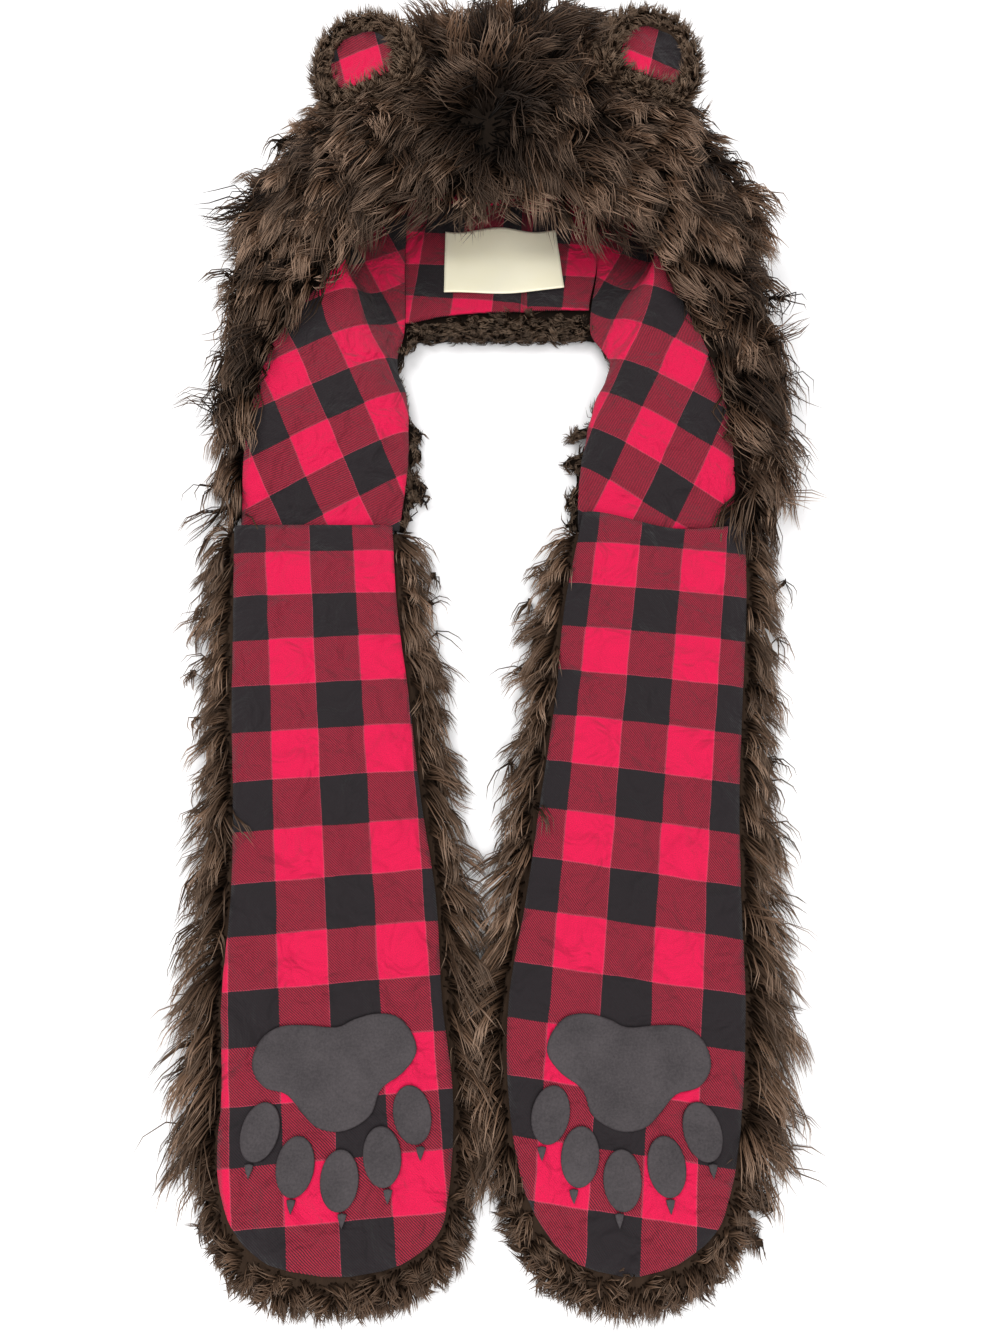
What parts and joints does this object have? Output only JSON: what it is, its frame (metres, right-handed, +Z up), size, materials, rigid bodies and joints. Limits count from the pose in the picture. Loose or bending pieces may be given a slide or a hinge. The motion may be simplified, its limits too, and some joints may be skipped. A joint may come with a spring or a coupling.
{
  "type": "animal hood scarf",
  "caption": "Faux fur animal hood with round ears and plaid lining, whose two scarf arms end in pocketed paws with pads, lying flat on its back.",
  "frame": {"origin": "on the flat underside of the hood's back, halfway between the two arms", "axes": "+Y from the paws towards the crown, +Z up from the surface it lies on, +X to the right as seen from above"},
  "size_m": [0.3721, 0.7826, 0.0991],
  "materials": {
    "long_fur": "long dark brown faux fur pile",
    "short_fur": "short dense brown faux fur pile",
    "plaid": "brushed cotton check, red and black",
    "label_cloth": "smooth cream label cloth",
    "pad": "matt dark grey soft plastic"
  },
  "bodies": {
    "root": {"hood_fur": "long_fur", "centre_lining": "plaid", "left_side_lining": "plaid", "right_side_lining": "plaid", "label": "label_cloth", "left_ear_fur": "short_fur", "left_ear_lining": "plaid", "left_arm_fur": "long_fur", "left_arm_lining": "plaid", "left_palm_pad": "pad", "left_toe_pad_1": "pad", "left_toe_pad_2": "pad", "left_toe_pad_3": "pad", "left_toe_pad_4": "pad", "left_toe_pad_5": "pad", "left_claw_1": "pad", "left_claw_2": "pad", "left_claw_3": "pad", "left_claw_4": "pad", "left_claw_5": "pad", "right_ear_fur": "short_fur", "right_ear_lining": "plaid", "right_arm_fur": "long_fur", "right_arm_lining": "plaid", "right_palm_pad": "pad", "right_toe_pad_1": "pad", "right_toe_pad_2": "pad", "right_toe_pad_3": "pad", "right_toe_pad_4": "pad", "right_toe_pad_5": "pad", "right_claw_1": "pad", "right_claw_2": "pad", "right_claw_3": "pad", "right_claw_4": "pad", "right_claw_5": "pad"}
  },
  "joints": []
}
